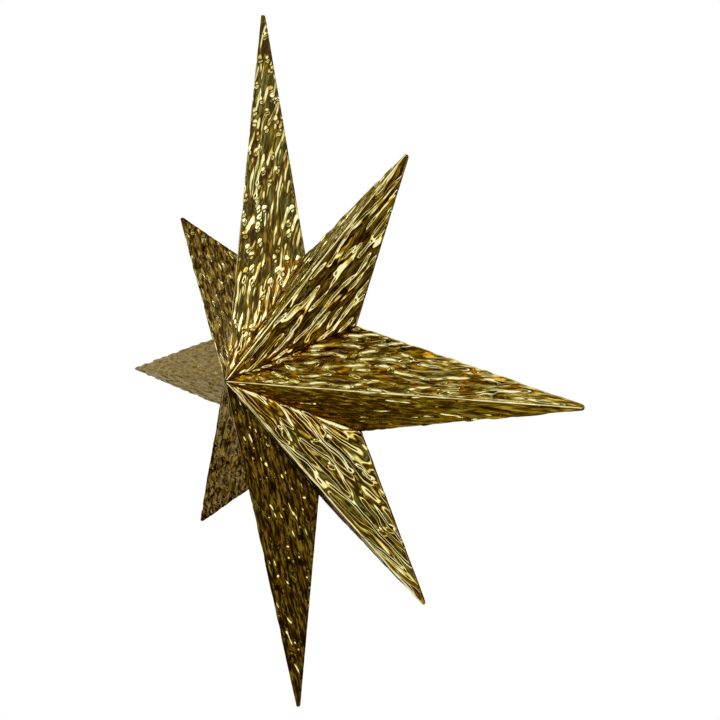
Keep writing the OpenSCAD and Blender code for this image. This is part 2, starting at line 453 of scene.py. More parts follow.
POINT_INPUTS = {
    "NodeSocketVector": ("Centre", "Along", "Across", "Out", "Left Normal", "Right Normal"),
    "NodeSocketFloat": (
        "Reach", "Peak Height", "Left Notch Along", "Left Notch Across", "Right Notch Along",
        "Right Notch Across", "Tip Radius", "Tip Height", "Thickness", "Ridge Radius",
        "Pad Height", "Pad Length", "Pad Pitch", "Wrinkle Height", "Dimple Depth", "Swell Height",
        "Left Strength", "Right Strength", "Coarseness", "Calm", "Dimples", "Left Brilliance",
        "Right Brilliance", "Slant", "Left Shift", "Right Shift", "Streaks", "Left Lift",
        "Right Lift", "Rub", "Seed"),
    "NodeSocketInt": ("Rows", "Front Lanes", "Back Lanes"),
    "NodeSocketMaterial": ("Material",),
}


def new_group(name, inputs):
    """A Geometry Nodes tree with named inputs, as a board, and the wires of its inputs."""
    tree = bpy.data.node_groups.new(name, "GeometryNodeTree")
    tree.interface.new_socket("Geometry", in_out="OUTPUT", socket_type="NodeSocketGeometry")
    kinds = {"NodeSocketGeometry": ("Geometry",)} | inputs
    for kind, labels in kinds.items():
        for label in labels:
            tree.interface.new_socket(label, in_out="INPUT", socket_type=kind)
    board = Board(tree)
    first = board.add("NodeGroupInput")
    return board, {label: first.out(label) for labels in kinds.values() for label in labels}


def end_group(board, geometry, material):
    """Ends a tree with Realize Instances and Set Material."""
    real = board.add("GeometryNodeRealizeInstances", {}, {"Geometry": geometry})
    dressed = board.add("GeometryNodeSetMaterial", {}, {"Geometry": real, "Material": material})
    board.add("NodeGroupOutput", {}, {"Geometry": dressed})
    return board.tree


# A length in metres times this is in millimetres, in which the pattern is laid out
TO_MM = 1000
# The sizes of the pattern's parts, along a point and across it in millimetres, and how far in
# the seed they stay alike
WRINKLE_SIZE = (6.0, 1.9, 0.7)
SWELL_SIZE = (22.0, 12.0, 1.0)
DIMPLE_SPACING = (4.8, 3.8, 1.0)
CALM_SIZE = (30.0, 16.0, 1.0)
# Sets the net of the dimples apart from one point to the next
DIMPLE_SHIFT = 7.3


def bark(board, given, s, t):
    """The embossing in metres, and 1 on its pads and 0 between them, at a place in millimetres."""
    seed = given["Seed"]
    place = board.join(s / given["Coarseness"], t / given["Coarseness"], seed)
    # The grain wanders, and its edges wiggle
    drift = board.cloud(place * (1 / 30, 1 / 13, 1.0), 1.0, out="Color") - (0.5, 0.5, 0.5)
    wiggle = board.cloud(place * (1 / 6, 1 / 4, 1.3), 1.0, out="Color") - (0.5, 0.5, 0.5)
    grain = place + drift * (9.0, 4.0, 0.0) + wiggle * (2.0, 1.3, 0.0)
    pad_size = board.join(given["Pad Length"] * TO_MM, given["Pad Pitch"] * TO_MM, 1.0)
    plateau = board.step(board.cloud(grain / pad_size, 0.0), 0.40, 0.59)
    wrinkle = board.cloud(grain / WRINKLE_SIZE, 1.0, 0.35) - 0.5
    swell = board.cloud(place / SWELL_SIZE, 1.0, 0.4) - 0.5
    # Small round dimples, in some of the cells of a loose net
    cells = board.add(
        "ShaderNodeTexVoronoi",
        {"voronoi_dimensions": "2D", "feature": "F1"},
        {"Vector": grain / DIMPLE_SPACING + board.join(seed * DIMPLE_SHIFT, seed, 0.0),
         "Scale": 1.0, "Randomness": 0.9},
        "Distance",
    )
    has_dimple = board.parts(cells.out("Color"))[0] < given["Dimples"]
    dimple = board.step(cells, 0.32, 0.05) * has_dimple
    # Some stretches are nearly smooth
    calm = board.step(board.cloud(place / CALM_SIZE, 0.0), 0.60, 0.40)
    share = 1.0 - calm * given["Calm"]
    raised = (plateau - 0.5) * given["Pad Height"] * share
    raised = raised + wrinkle * given["Wrinkle Height"] * (0.5 + 0.5 * share)
    raised = raised - dimple * given["Dimple Depth"]
    raised = raised + swell * given["Swell Height"]
    return raised, plateau


# Where the sheet's first row lies from the peak, and how far on the sheet has its full width
FIRST_ROW = 0.35 * MM
MOUTH_LENGTH = 1.2 * MM
# How far before its end the sheet starts to close on itself
CLOSING_LENGTH = 1 * MM
# Above 1, the rows crowd towards the tip
ROW_CROWDING = 1.12
# Takes the last row fully to the tip, whatever the rounding of its place
PAST_THE_TIP = 1.001
# The greatest share of the half width that the roundness of the fold takes
FOLD_SHARE = 0.25
# Vertices closer than this become one
WELD = 0.002 * MM


def embossed_tree():
    """The tree that makes one folded point: an embossed sheet with a front, a back and a cut edge."""
    board, given = new_group("embossed point", POINT_INPUTS)
    reach = given["Reach"]
    height = given["Peak Height"]
    radius = given["Tip Radius"]
    front_lanes = given["Front Lanes"]
    back_lanes = given["Back Lanes"]
    around = front_lanes + back_lanes + 2

    def sided(label, left_share):
        """A value that may differ from the right side of the fold to the left."""
        return board.between(given["Right " + label], given["Left " + label], left_share)

    # A grid is wrapped round the sheet: over the front, over one edge, back over the rear
    grid = board.add(
        "GeometryNodeMeshGrid",
        {},
        {"Size X": 1.0, "Size Y": 1.0, "Vertices X": given["Rows"] + 1, "Vertices Y": around + 1},
    )
    x, y, z = board.parts(board.add("GeometryNodeInputPosition"))
    lane = board.maths("ROUND", (y + 0.5) * around)
    rear = (lane > front_lanes + 0.5) * (lane < around - 0.5)
    over_front = (lane % around) / front_lanes * 2 - 1
    over_rear = 1 - (lane - front_lanes - 1) / back_lanes * 2
    w = board.between(over_front, over_rear, rear)
    side = board.maths("SIGN", w)
    width = abs(w)
    share = 1 - (1 - (x + 0.5)) ** ROW_CROWDING
    s = FIRST_ROW + share * (reach - FIRST_ROW)

    # The point before it is embossed: the fold's line, and the valley and rim beside it
    notch_along = sided("Notch Along", side > 0)
    notch_across = sided("Notch Across", side > 0)
    valley = board.clamp(s / notch_along)
    rim = board.clamp((s - notch_along) / (reach - radius - notch_along))
    half = board.between(notch_across * valley, radius, rim)
    fold_z = board.between(height, given["Tip Height"], s / reach)
    edge_z = height * (1 - valley)
    nose = board.clamp((s - (reach - radius)) / radius * PAST_THE_TIP)
    nose = board.maths("SQRT", 1 - nose * nose)
    mouth = board.step(s, FIRST_ROW, FIRST_ROW + MOUTH_LENGTH)
    # 0 on the first row and on the last, which both close to one spot on the front and one behind
    opened = mouth * board.step(reach - s, 0.0, CLOSING_LENGTH)
    across = width * half
    bend = board.maths("MINIMUM", given["Ridge Radius"], half * FOLD_SHARE)
    slope = (fold_z - edge_z) / half
    drop = slope * board.maths("SQRT", across * across + bend * bend)
    out = (fold_z - drop * mouth) * nose
    sheet_width = board.maths("SQRT", half * half + (fold_z - edge_z) * (fold_z - edge_z))
    s_mm = s * TO_MM
    t_mm = w * sheet_width * TO_MM

    # The embossing, calmer along the fold, in the valleys, at the peak and at the tip
    raised, plateau = bark(board, given, s_mm, t_mm)
    to_fold = abs(t_mm)
    to_edge = (1 - width) * sheet_width * TO_MM
    in_valley = s < notch_along
    quiet = 0.55 + 0.45 * board.step(to_fold, 0.2, 1.6)
    quiet = quiet * (1 - 0.7 * in_valley * board.step(to_edge, 2.2, 0.0))
    quiet = quiet * (0.12 + 0.88 * board.step(reach - s, 1.5 * MM, 9 * MM))
    quiet = quiet * (0.1 + 0.9 * board.step(s, 2 * MM, 9 * MM))
    turn = board.step(t_mm, -1.2, 1.2)
    raised = raised * quiet * sided("Strength", turn) * opened
    lean = given["Right Normal"] * (1 - turn) + given["Left Normal"] * turn
    lean = board.vector("NORMALIZE", lean)
    facing = board.vector("DOT_PRODUCT", lean, given["Out"])
    depth = given["Thickness"] / board.between(1.0, facing, opened) * rear

    place = given["Centre"] + given["Along"] * s
    place = place + given["Across"] * (side * across * nose * mouth)
    place = place + given["Out"] * (out - depth)
    place = place + lean * raised

    # What the material reads off the sheet. Off a valley, its line is taken to be far away
    from_valley = to_edge + 50 * (1 - in_valley)
    sideways = board.vector("NORMALIZE", board.vector("CROSS_PRODUCT", lean, given["Along"]))
    sheet = grid
    for name, value in (
        ("sheet", board.join(s_mm, t_mm, given["Seed"])),
        ("lines", board.join(to_fold / given["Rub"], from_valley, given["Streaks"])),
        # The finish holds the point's and its raised pads' shift on the scale of painted light and shade,
        # the rear, and the brilliance
        ("finish", board.join(
            sided("Shift", turn) + plateau * sided("Lift", turn), rear, sided("Brilliance", turn))),
        # Which way is sideways, for light painted as if from one side
        ("slant", sideways * given["Slant"]),
        ("tip", board.step(reach - s, 5 * MM, 2 * MM)),
    ):
        sheet = board.add(
            "GeometryNodeStoreNamedAttribute",
            {"data_type": "FLOAT_VECTOR" if is_vector(value) else "FLOAT", "domain": "POINT"},
            {"Geometry": sheet, "Name": name, "Value": value},
        )
    moved = board.add("GeometryNodeSetPosition", {}, {"Geometry": sheet, "Position": place})
    welded = board.add("GeometryNodeMergeByDistance", {}, {"Geometry": moved, "Distance": WELD})
    finish = board.add(
        "GeometryNodeInputNamedAttribute", {"data_type": "FLOAT_VECTOR"}, {"Name": "finish"})
    # The faces of the cut edge lie between front and rear, and stay flat
    on_one_side = abs(board.parts(finish)[1] - 0.5) > 0.45
    shaded = board.add(
        "GeometryNodeSetShadeSmooth",
        {"domain": "FACE"},
        {"Geometry": welded, "Shade Smooth": on_one_side},
    )
    return end_group(board, shaded, given["Material"])


def bare(name, mesh=None):
    """A new object in the scene, with this mesh or an empty one."""
    piece = bpy.data.objects.new(name, mesh or bpy.data.meshes.new(name))
    bpy.context.scene.collection.objects.link(piece)
    return piece


def add_tree(piece, tree, values):
    """Adds a Geometry Nodes tree to a piece, with the values of its named inputs."""
    maker = piece.modifiers.new("maker", "NODES")
    maker.node_group = tree
    sockets = {i.name: i.identifier for i in tree.interface.items_tree if i.in_out == "INPUT"}
    for label, value in values.items():
        maker[sockets[label]] = value
    return piece


def settled(piece):
    """The piece with its modifiers worked into a plain mesh."""
    made = piece.evaluated_get(bpy.context.evaluated_depsgraph_get())
    mesh = bpy.data.meshes.new_from_object(made)
    for slot in reversed(range(len(mesh.materials))):
        if mesh.materials[slot] is None:
            mesh.materials.pop(index=slot)
    piece.modifiers.clear()
    piece.data = mesh
    mesh.name = piece.name
    if not mesh.polygons:
        raise RuntimeError(f"{piece.name} came out empty")
    return piece


def merged(node):
    """A copy of a CAD node's mesh, with its loose triangles joined into flat faces."""
    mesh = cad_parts[node].data.copy()
    shape = bmesh.new()
    shape.from_mesh(mesh)
    bmesh.ops.remove_doubles(shape, verts=shape.verts, dist=WELD)
    bmesh.ops.dissolve_limit(
        shape, angle_limit=math.radians(0.5), verts=shape.verts, edges=shape.edges)
    bmesh.ops.recalc_face_normals(shape, faces=shape.faces)
    shape.to_mesh(mesh)
    shape.free()
    mesh.materials.clear()
    return mesh


def turned(name, profile, bearings, hollow=False):
    """A mesh turned round the Z axis from a profile of radius and height."""
    shape = bmesh.new()
    rings = []
    for radius, height in profile:
        if radius == 0:
            rings.append([shape.verts.new((0, 0, height))] * len(bearings))
        else:
            rings.append([
                shape.verts.new((radius * math.cos(a), radius * math.sin(a), height))
                for a in bearings])
    pairs = list(zip(rings, rings[1:] + rings[:1] if hollow else rings[1:]))
    for low, high in pairs:
        for i in range(len(bearings)):
            k = (i + 1) % len(bearings)
            corners = list(dict.fromkeys([low[i], low[k], high[k], high[i]]))
            if len(corners) > 2:
                shape.faces.new(corners)
    bmesh.ops.recalc_face_normals(shape, faces=shape.faces)
    mesh = bpy.data.meshes.new(name)
    shape.to_mesh(mesh)
    shape.free()
    return mesh


def bearings_of(count):
    """Bearings all round, evenly spaced."""
    return [math.tau * i / count for i in range(count)]


def arc(centre, radius, start, end, steps):
    """Points on an arc of a profile, from one angle to another in degrees."""
    angles = [math.radians(start + (end - start) * i / steps) for i in range(steps + 1)]
    return [(centre[0] + radius * math.cos(a), centre[1] + radius * math.sin(a)) for a in angles]


def soften(piece, angle=40):
    """Smooth shading, but for the edges sharper than an angle in degrees."""
    piece.data.shade_smooth()
    piece.data.set_sharp_from_angle(angle=math.radians(angle))
    return piece


def new_material(name):
    """An empty material and its board."""
    material = bpy.data.materials.new(name)
    material.use_nodes = True
    board = Board(material.node_tree)
    board.tree.nodes.clear()
    return material, board


def metal(board, colour, rough, height, strength, depth, other=None):
    """Ends a material as metal of this colour and roughness, dented by a height."""
    dents = board.add(
        "ShaderNodeBump", {}, {"Strength": strength, "Distance": depth, "Height": height}, "Normal")
    values = {"Base Color": colour, "Metallic": 1.0, "Roughness": rough, "Normal": dents}
    shader = board.add("ShaderNodeBsdfPrincipled", {}, values | (other or {}))
    board.add("ShaderNodeOutputMaterial", {}, {"Surface": shader})


def hand_over(piece, slot, *nodes):
    """Hangs a piece on the body that it rides on, and hides the CAD nodes that it takes the place of. The
    slot is not used.
    """
    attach(piece, BODY)
    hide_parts(*nodes)
    return piece


def hues(*pairs):
    """The stops of a ramp: each a place, and a colour written as six hexadecimal digits."""
    return [(at, linear(text)) for at, text in pairs]


# The scale of light and shade painted on the sheet, from facing down to facing up
PAINTED_LIGHT_LOW = -1.6
PAINTED_LIGHT_HIGH = 1.8


def on_ramp(stops):
    """Stops on the scale of painted light, moved to a ramp's own scale from 0 to 1."""
    return [((at - PAINTED_LIGHT_LOW) / (PAINTED_LIGHT_HIGH - PAINTED_LIGHT_LOW), colour) for at, colour in stops]


# Painted reflection: how bright the surroundings are that a ripple mirrors, at each place on
# the scale of painted light
PAINTED_REFLECTION = (
    (-1.54, 0.30), (-1.40, 0.50), (-1.28, 0.26), (-1.16, 0.46), (-1.05, 0.16),
    (-0.93, 0.42), (-0.86, 0.08), (-0.77, 0.04), (-0.68, 0.26), (-0.58, 0.14),
    (-0.49, 0.30), (-0.41, 0.06), (-0.33, 0.06), (-0.27, 0.50), (-0.22, 0.85),
    (-0.18, 1.00), (0.15, 1.00), (0.22, 0.50), (0.30, 0.18), (0.39, 0.42),
    (0.47, 0.12), (0.55, 0.20), (0.63, 0.75), (0.74, 0.95), (0.84, 0.35),
    (0.96, 0.12), (1.09, 0.40), (1.19, 0.18), (1.30, 0.42), (1.41, 0.16),
    (1.53, 0.42), (1.66, 1.00),
)
# Where on that scale the painted reflection may look warm or green: start, full part and end
WARM_BANDS = ((-1.04, -0.94, -0.88, -0.78), (1.12, 1.22, 1.34, 1.44), (-0.36, -0.30, -0.26, -0.20))
GREEN_BAND = (0.28, 0.34, 0.46, 0.54)

# The colour of the painted reflection, where the metal mirrors something dark, through to
# something bright
GOLD = hues(
    (0.05, "140a00"), (0.10, "251402"), (0.18, "3b2705"), (0.26, "533e0c"), (0.35, "6e560e"),
    (0.45, "8b7018"), (0.57, "aa8f2c"), (0.71, "cbb557"), (0.86, "eadc88"), (0.97, "fdf6b8"))
WARM_GOLD = hues(
    (0.05, "160900"), (0.15, "301c02"), (0.25, "5a3904"), (0.35, "7e5606"), (0.45, "a67408"),
    (0.57, "c4900f"), (0.71, "dab03c"), (0.86, "eed888"), (0.97, "fdf6b8"))
GREEN_GOLD = hues(
    (0.05, "141206"), (0.15, "2b260b"), (0.25, "463f13"), (0.35, "5e5722"), (0.45, "7a7438"),
    (0.57, "989552"), (0.71, "bcbb74"), (0.86, "e2e0a2"), (0.97, "fcf9c8"))
# The colour of the dullest points, painted lighter and darker at each place on the scale of
# painted light
DULL_GOLD = hues(
    (-1.80, "6a5a34"), (-1.30, "7a6a5c"), (-0.90, "5a4a26"), (-0.50, "6a5a34"), (-0.10, "927a56"),
    (0.30, "78653f"), (0.80, "887762"), (1.30, "88776c"), (1.60, "a08c5c"), (1.95, "857456"))
# The colour of the fine cracks in the finish of the duller points
CRACK = linear("c0a87c")
# The sizes of the finish's marks, along a point and across it in millimetres
DENT_SIZE = (2.6, 0.9, 1.0)
SMEAR_SIZE = (9.0, 3.0, 1.0)
STREAK_SIZE = (7.0, 1.3, 1.0)
BLOTCH_SIZE = (3.4, 1.9, 1.0)
CRACK_SIZE = (3.0, 2.2, 1.0)
PATCH_SIZE = (16.0, 6.0, 1.0)
# The tint of the metal where it is seen at a glancing angle
EDGE_TINTS = {"pale": linear("d6caa8"), "deep": linear("6e5c34")}


def band(board, painted_light_scale, start, full, fade, end):
    """1 in one stretch of the scale of painted light and 0 outside it."""
    return board.step(painted_light_scale, start, full) * board.step(painted_light_scale, end, fade)


def bright_gold(board, painted_light_scale, level, sheet_at, from_valley, streaked, brilliance):
    """The colour of polished gold with its painted reflections. Near a valley a warmer painted reflection
    stands for the next point, which it mirrors.
    """
    patches = board.cloud(sheet_at / PATCH_SIZE, 2.0, 0.5)
    # Painted warm reflection in some bands of the scale, in patches, and near a valley, where the next point
    # shows
    warm = sum(band(board, painted_light_scale, *stretch) for stretch in WARM_BANDS)
    warm = warm * board.step(patches, 0.38, 0.56) + board.step(from_valley, 12, 1) * 0.9
    warm = warm * board.step(brilliance, 0.4, 0.95) * board.step(streaked, 1.0, 0.75)
    # A green tint: painted reflection in one band of the scale in some patches, and a plain tint in others
    green = band(board, painted_light_scale, *GREEN_BAND)
    green = green * board.step(patches, 0.60, 0.44) + board.step(patches, 0.46, 0.36) * 0.5
    bright = board.mix(green * 0.9, board.ramp(GOLD, level), board.ramp(GREEN_GOLD, level))
    return board.mix(warm * 0.9, bright, board.ramp(WARM_GOLD, level + 0.04))


def embossed_gold(name, edge_tint):
    """Polished gold on the embossed sheet, with light, shade and reflections painted into its colour by
    which way each ripple faces.
    """
    finish = settings_of("star_finish")
    material, board = new_material(name)
    umber, night = opaque(finish.umber), opaque(finish.night)

    facing = board.coordinates("Normal")
    height = board.parts(facing.out("Object"))[2] - CENTRE.z
    sheet_at = board.attribute("sheet")
    from_fold, from_valley, streaked = board.parts(board.attribute("lines"))
    shift, on_rear, brilliance = board.parts(board.attribute("finish"))
    # Fine dents that the mesh is too coarse for
    fine = board.cloud(sheet_at / DENT_SIZE, 3.0, 0.55)
    smear = board.cloud(sheet_at / SMEAR_SIZE, 2.0, 0.5)
    streaks = board.step(board.cloud(sheet_at / STREAK_SIZE, 2.0, 0.5), 0.38, 0.62)

    # Painted light and shade: each ripple's place on the scale follows how far it faces up, how far it faces
    # sideways along the slant, how high it stands on the star and the point's own shift
    painted_light_scale = board.parts(facing)[2] * 2.0
    painted_light_scale = painted_light_scale + board.vector("DOT_PRODUCT", facing, board.attribute("slant"))
    painted_light_scale = painted_light_scale + height * 0.8 + (smear - 0.5) * 0.2 + shift
    share = (painted_light_scale - PAINTED_LIGHT_LOW) / (PAINTED_LIGHT_HIGH - PAINTED_LIGHT_LOW)
    # The painted reflection's brightness, streaked at random
    painted_mirror_level = board.ramp(on_ramp((at, (value, value, value, 1)) for at, value in PAINTED_REFLECTION), share)
    level = board.parts(painted_mirror_level)[0] * board.between(1.0, 0.4 + streaks * 1.15, streaked)
    # Painted shade: the rear of the sheet is darker
    level = level * (1 - on_rear * 0.45)
    bright = bright_gold(board, painted_light_scale, level, sheet_at, from_valley, streaked, brilliance)
    # The duller points take the dull colours, painted lighter and darker on the same scale
    colour = board.mix(brilliance, board.ramp(on_ramp(DULL_GOLD), share), bright)

    # The duller points are blotched and finely crackled
    dullness = board.step(brilliance, 0.95, 0.75)
    blotches = board.step(board.cloud(sheet_at / BLOTCH_SIZE, 3.0, 0.6), 0.5, 0.6)
    colour = board.mix(blotches * dullness * streaked * 0.5, colour, umber)
    colour = board.mix((1 - streaks) * dullness * streaked * 0.55, colour, night)
    cracks = board.add(
        "ShaderNodeTexVoronoi",
        {"voronoi_dimensions": "3D", "feature": "DISTANCE_TO_EDGE"},
        {"Vector": sheet_at / CRACK_SIZE + (fine - 0.5) * 0.6, "Scale": 1.0},
        "Distance",
    )
    cracks = board.step(cracks, 0.10, 0.02) * board.step(smear, 0.4, 0.6)
    colour = board.mix(cracks * dullness * 0.5, colour, CRACK)

    # The nub at the tip is brown, a painted shadow runs beside the fold, the fold is rubbed bright and
    # painted with a highlight, and the seams in the valleys are dark
    colour = board.mix(board.attribute("tip", "Fac") * 0.6, colour, umber)
    # Painted shadow: a dark band beside the fold
    beside = board.step(from_fold, 0.28, 0.4) * board.step(from_fold, 0.8, 0.55)
    colour = board.mix(beside * 0.55, colour, umber)
    # Rubbed bright along the fold, with a painted highlight there
    rubbed_and_highlight = board.step(from_fold, 0.32, 0.14) * board.step(smear, 0.3, 0.45)
    colour = board.mix(rubbed_and_highlight * 0.8, colour, opaque(finish.cream))
    colour = board.mix(board.step(from_valley, 0.55, 0.1) * 0.8, colour, night)
    rough = finish.roughness + (smear - 0.5) * 0.12 + (1 - brilliance) * 0.12
    metal(board, colour, rough, fine, 0.35, 0.25 * MM, {"Specular Tint": edge_tint})
    return material
class STAR_OT_points(bpy.types.Operator):
    """Makes the eight embossed points"""

    bl_idname = "star.points"
    bl_label = "Embossed points"

    def execute(self, context):
        sheet = settings_of("star_sheet")
        tree = embossed_tree()
        golds = {edge: embossed_gold(edge + " edged gold", tint) for edge, tint in EDGE_TINTS.items()}
        for name, fold in FOLDS.items():
            traits = POINT_TRAITS[name]
            values = self.shape(fold, sheet) | self.character(traits)
            values["Material"] = golds[traits["edge"]]
            piece = settled(add_tree(bare("embossed_" + name), tree, values))
            hand_over(piece, "embossed_brass", "point_" + name)
        return {"FINISHED"}

    def shape(self, fold, sheet):
        """The tree's inputs for the sizes of one point and its mesh."""
        longest = max(other.reach for other in FOLDS.values())
        lanes = round(sheet.lanes * (fold.reach / longest) ** LANE_POWER)
        values = {
            "Centre": CENTRE, "Along": fold.along, "Across": fold.across, "Out": OUT,
            "Reach": fold.reach, "Peak Height": PEAK_HEIGHT,
            "Rows": round(fold.reach / sheet.row_length),
            "Front Lanes": lanes, "Back Lanes": lanes // 2,
        }
        for label, side, notch in (("Left ", 1, fold.left), ("Right ", -1, fold.right)):
            values[label + "Normal"] = fold.normal(side, sheet.tip_height)
            values[label + "Notch Along"], values[label + "Notch Across"] = notch
        for size in TREE_SIZES:
            values[size.replace("_", " ").title()] = getattr(sheet, size)
        return values

    def character(self, traits):
        """The tree's inputs for what sets one point apart."""
        values = {}
        for trait, value in traits.items():
            if trait in SIDED_TRAITS:
                left, right = value if isinstance(value, tuple) else (value, value)
                values |= {"Left " + trait.title(): left, "Right " + trait.title(): right}
            elif trait != "edge":
                values[trait.title()] = value
        return values


SOLDER_INPUTS = {
    "NodeSocketFloat": ("Swell", "Lump Height", "Lump Size", "Ripple Height", "Seed"),
    "NodeSocketMaterial": ("Material",),
}
def poured_tree():
    """The tree that makes a smooth run of solder lumpy, as an iron leaves it."""
    board, given = new_group("poured solder", SOLDER_INPUTS)
    spot = board.add("GeometryNodeInputPosition")
    facing = board.add("GeometryNodeInputNormal")
    shift = board.join(given["Seed"], 0.0, 0.0)
    lumps = board.cloud(spot / given["Lump Size"] + shift, 1.0, 0.4) - 0.5
    ripples = board.cloud(spot / (given["Lump Size"] * 0.25) + shift, 2.0, 0.5) - 0.5
    raised = given["Swell"] + lumps * given["Lump Height"] + ripples * given["Ripple Height"]
    # The side against the sheet stays back, behind the embossing
    behind = board.step(board.parts(facing)[1], -0.5, 0.1)
    raised = board.between(given["Swell"] * -3, raised, behind)
    moved = board.add(
        "GeometryNodeSetPosition", {}, {"Geometry": given["Geometry"], "Offset": facing * raised})
    smooth = board.add(
        "GeometryNodeSetShadeSmooth", {"domain": "FACE"}, {"Geometry": moved, "Shade Smooth": True})
    return end_group(board, smooth, given["Material"])


def frozen_solder():
    """Dull silvery solder, with brown flux burnt into its hollows."""
    finish = settings_of("star_finish")
    material, board = new_material("frozen solder")
    at = board.coordinates("Object")
    broad = board.cloud(at * 260.0, 3.0)
    crystals = board.add(
        "ShaderNodeTexVoronoi", {"feature": "F1"}, {"Vector": at, "Scale": 700.0}, "Color")
    sparkle = board.parts(crystals)[0]
    fine = board.cloud(at * 3200.0, 3.0)
    burnt = board.step(board.cloud(at * 110.0, 4.0, 0.6), 0.52, 0.62)
    colour = board.mix(broad, opaque(finish.solder_dark), opaque(finish.solder))
    colour = board.mix(sparkle * 0.5, colour, opaque(finish.solder_light))
    colour = board.mix(burnt * 0.85, colour, opaque(finish.flux))
    rough = 0.30 + broad * 0.18 + burnt * 0.25 + sparkle * 0.06
    metal(board, colour, rough, fine + sparkle * 0.5, 0.4, 0.1 * MM, {"Metallic": 1 - burnt * 0.7})
    return material
class STAR_OT_solder(bpy.types.Operator):
    """Pours the solder in the valleys, at the tips, behind the peak and at the straps' ends"""

    bl_idname = "star.solder"
    bl_label = "Solder"

    def execute(self, context):
        hardware = settings_of("star_hardware")
        tree = poured_tree()
        silvery = frozen_solder()
        for seed, node in enumerate(("valley_solder", "tip_solder", "peak_solder", "strap_solder")):
            piece = bare("poured_" + node, merged(node))
            if node in ("valley_solder", "strap_solder"):
                self.follow_notches(piece.data)
            net = piece.modifiers.new("net", "REMESH")
            net.mode = "VOXEL"
            net.voxel_size = hardware.solder_grain
            flow = piece.modifiers.new("flow", "SMOOTH")
            flow.factor = 0.5
            flow.iterations = 6
            values = {
                "Swell": hardware.solder_swell, "Lump Height": hardware.lump_height,
                "Lump Size": hardware.lump_size, "Ripple Height": hardware.ripple_height,
                "Seed": float(seed), "Material": silvery,
            }
            hand_over(settled(add_tree(piece, tree, values)), "solder", node)
        return {"FINISHED"}

    def follow_notches(self, mesh):
        """Turns each run of solder with the notch that it leads to."""
        step = 360 / len(COMPASS)
        for vertex in mesh.vertices:
            offset = vertex.co - CENTRE
            clockwise = math.degrees(math.atan2(offset.x, offset.z))
            notch = round((clockwise - step / 2) / step) % len(COMPASS)
            vertex.co = CENTRE + bent(offset, notch)


def painted_room_reflection(board, normal, at, finish):
    """Brass with a painted reflection: bands of light and dark round its curves, as a polished piece shows
    of a room.
    """
    across, depth, up = board.parts(normal)
    drift = board.cloud(at * 38.0, 1.0) - 0.5
    share = (across * 0.8 + up * 0.5 + depth * 0.12 + drift * 0.9 + 1.3) / 2.6
    dark, plain, pale = opaque(finish.brass_dark), opaque(finish.brass), opaque(finish.pale)
    return board.ramp((
        (0.10, dark), (0.22, plain), (0.29, pale), (0.34, plain), (0.42, dark), (0.52, plain),
        (0.60, plain), (0.66, pale), (0.71, pale), (0.76, plain), (0.90, dark)), share)


def brushed_brass():
    """Rolled brass strip, brushed along its length, scratched and a little tarnished."""
    finish = settings_of("star_finish")
    material, board = new_material("brushed brass")
    normal = board.coordinates("Normal")
    at = normal.out("Object")
    grain = board.cloud(at * (35.0, 60.0, 4200.0), 3.0, 0.6)
    scratch = board.step(board.cloud(at * (25.0, 40.0, 2600.0), 1.0), 0.70, 0.75)
    tarnish = board.step(board.cloud(at * 85.0, 5.0, 0.65), 0.52, 0.74)
    # Painted reflection of a room, in bands round the curves of the straps and saddles
    colour = painted_room_reflection(board, normal, at, finish)
    colour = board.mix(board.step(grain, 0.3, 0.7) * 0.55, colour, opaque(finish.brass_dark))
    colour = board.mix(tarnish * 0.75, colour, opaque(finish.tarnish))
    colour = board.mix(scratch * 0.8, colour, opaque(finish.pale))
    rough = 0.22 + grain * 0.16 + tarnish * 0.16
    metal(board, colour, rough, grain - scratch * 1.5, 0.3, 0.04 * MM)
    return material
def plate(node, finish):
    """A strip of brass in a CAD node's shape, with its edges rounded."""
    piece = bare("cut_" + node, merged(node))
    piece.data.materials.append(finish)
    rounding = piece.modifiers.new("rounding", "BEVEL")
    rounding.width = settings_of("star_hardware").edge_round
    rounding.segments = 3
    rounding.limit_method = "ANGLE"
    rounding.angle_limit = math.radians(50)
    rounding.harden_normals = False
    soften(piece, 60)
    piece.modifiers.new("flats", "WEIGHTED_NORMAL").keep_sharp = True
    return hand_over(settled(piece), "strap_brass", node)


class STAR_OT_straps(bpy.types.Operator):
    """Cuts the two straps across the hollow and the two saddles on the sleeve"""

    bl_idname = "star.straps"
    bl_label = "Straps and saddles"

    def execute(self, context):
        brass = brushed_brass()
        for node in ("upper_strap", "lower_strap", "upper_saddle", "lower_saddle"):
            plate(node, brass)
        return {"FINISHED"}


# How many marks from drawing there are to a metre, across the tube and along it
MARKS_ACROSS = 5200.0
MARKS_ALONG = 30.0


